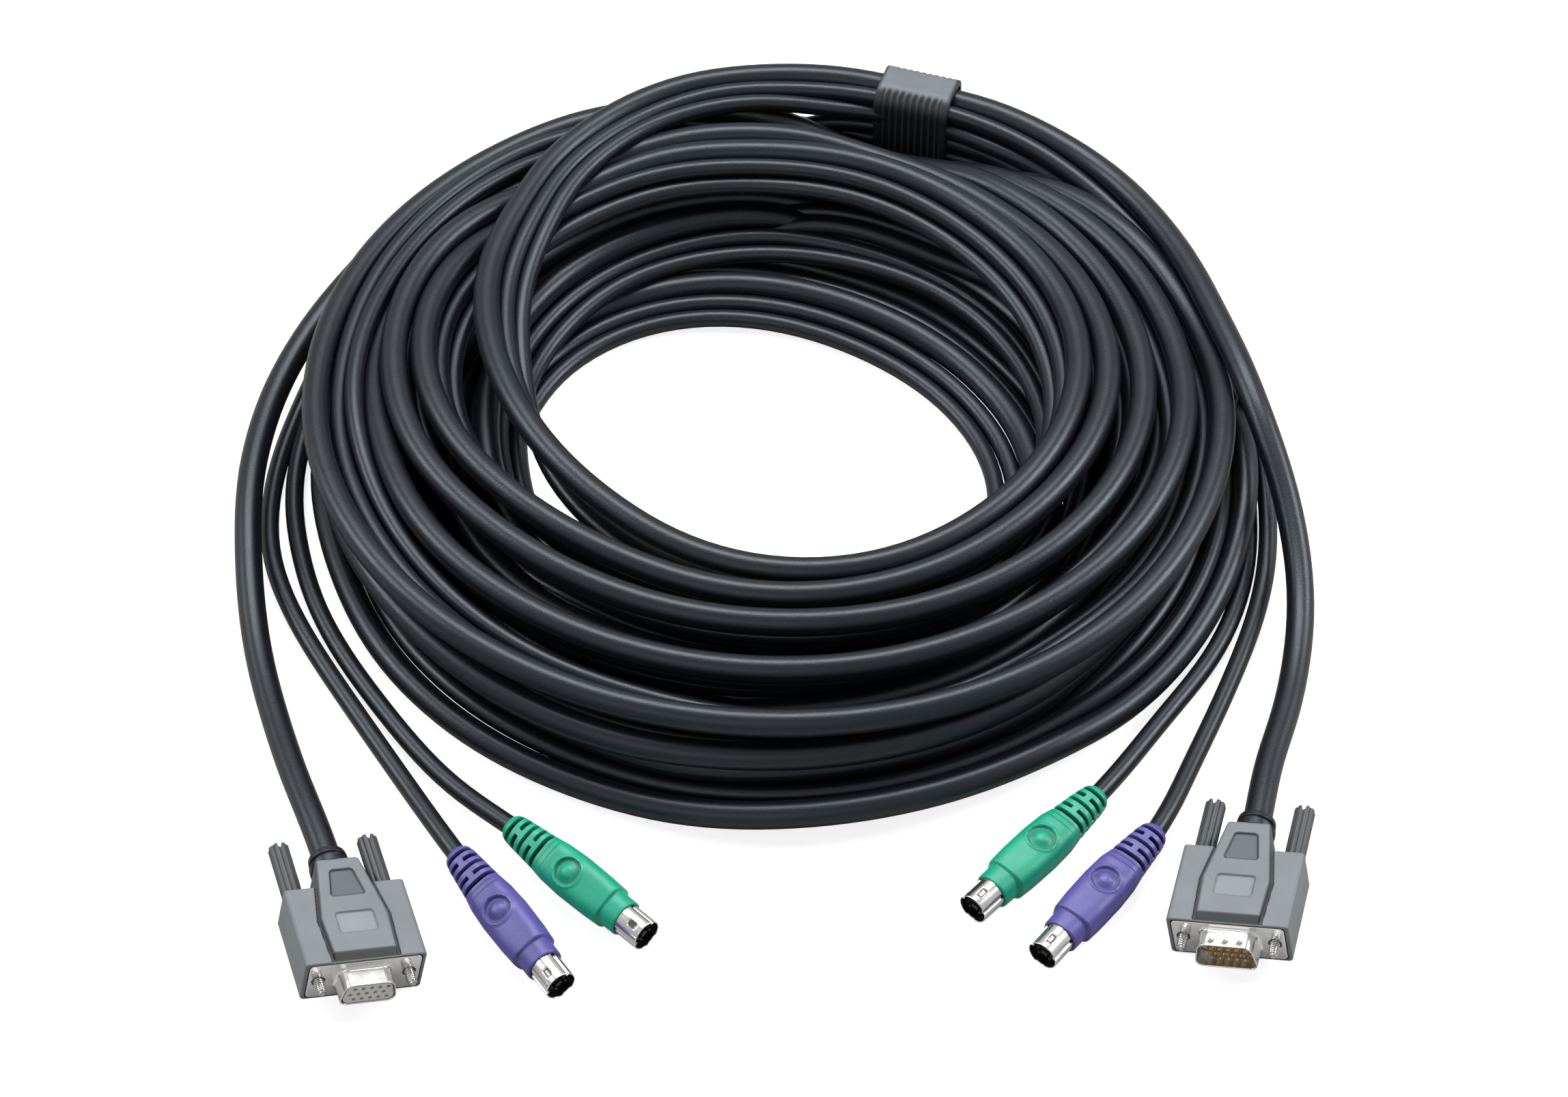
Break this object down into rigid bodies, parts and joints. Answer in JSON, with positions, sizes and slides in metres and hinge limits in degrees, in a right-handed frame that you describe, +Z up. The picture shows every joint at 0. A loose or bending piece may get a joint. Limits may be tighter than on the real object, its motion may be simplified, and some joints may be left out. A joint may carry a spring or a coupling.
{
  "type": "kvm cable",
  "caption": "Coiled black computer-switch cable: a video cord bonded to mouse and keyboard cords, a socket end, a plug end, and one rubber strap.",
  "frame": {"origin": "middle of the cable's own floor plan, on the surface it lies on", "axes": "+Z up; +X to the right as pictured, from the socket end towards the plug end; +Y away from the viewer, from the plugs towards the back of the coil"},
  "size_m": [0.3158, 0.3496, 0.0396],
  "materials": {
    "jacket": "satin",
    "strap_rubber": "matt, ribbed",
    "hood_grey": "fine texture",
    "knob_grey": "satin",
    "nickel": "bright nickel plate",
    "gold": "gold flash",
    "ivory": "satin",
    "black_plastic": "satin",
    "green": "satin",
    "violet": "satin"
  },
  "bodies": {
    "cable": {"cable_coil": "jacket", "coil_strap": "strap_rubber", "keyboard_cord_left": "jacket", "keyboard_cord_right": "jacket", "keyboard_plug_left_contacts": "black_plastic", "keyboard_plug_left_grip": "violet", "keyboard_plug_left_shell": "nickel", "keyboard_plug_right_contacts": "black_plastic", "keyboard_plug_right_grip": "violet", "keyboard_plug_right_shell": "nickel", "mouse_cord_left": "jacket", "mouse_cord_right": "jacket", "mouse_plug_left_contacts": "black_plastic", "mouse_plug_left_grip": "green", "mouse_plug_left_shell": "nickel", "mouse_plug_right_contacts": "black_plastic", "mouse_plug_right_grip": "green", "mouse_plug_right_shell": "nickel", "video_cord_left": "jacket", "video_cord_right": "jacket", "video_plug_hood": "hood_grey", "video_plug_insert": "ivory", "video_plug_pin_01": "gold", "video_plug_pin_02": "gold", "video_plug_pin_03": "gold", "video_plug_pin_04": "gold", "video_plug_pin_05": "gold", "video_plug_pin_06": "gold", "video_plug_pin_07": "gold", "video_plug_pin_08": "gold", "video_plug_pin_09": "gold", "video_plug_pin_10": "gold", "video_plug_pin_11": "gold", "video_plug_pin_12": "gold", "video_plug_pin_13": "gold", "video_plug_pin_14": "gold", "video_plug_pin_15": "gold", "video_plug_shell": "nickel", "video_socket_hood": "hood_grey", "video_socket_insert": "ivory", "video_socket_shell": "nickel"},
    "video_socket_thumbscrew_left": {"video_socket_screw_left": "nickel", "video_socket_knob_left": "knob_grey"},
    "video_socket_thumbscrew_right": {"video_socket_screw_right": "nickel", "video_socket_knob_right": "knob_grey"},
    "video_plug_thumbscrew_left": {"video_plug_screw_left": "nickel", "video_plug_knob_left": "knob_grey"},
    "video_plug_thumbscrew_right": {"video_plug_screw_right": "nickel", "video_plug_knob_right": "knob_grey"}
  },
  "joints": [
    {"name": "video_socket_thumbscrew_turn_left", "type": "hinge", "parent": "cable", "child": "video_socket_thumbscrew_left", "pos_m": [-0.11906, -0.17007, 0.01299], "axis": [0.3057, -0.9521, 0], "continuous": true},
    {"name": "video_socket_thumbscrew_turn_right", "type": "hinge", "parent": "cable", "child": "video_socket_thumbscrew_right", "pos_m": [-0.09583, -0.16261, 0.00758], "axis": [0.3057, -0.9521, 0], "continuous": true},
    {"name": "video_plug_thumbscrew_turn_left", "type": "hinge", "parent": "cable", "child": "video_plug_thumbscrew_left", "pos_m": [0.11209, -0.15083, 0.00754], "axis": [-0.2538, -0.9673, 0], "continuous": true},
    {"name": "video_plug_thumbscrew_turn_right", "type": "hinge", "parent": "cable", "child": "video_plug_thumbscrew_right", "pos_m": [0.13582, -0.15706, 0.01231], "axis": [-0.2538, -0.9673, 0], "continuous": true}
  ]
}
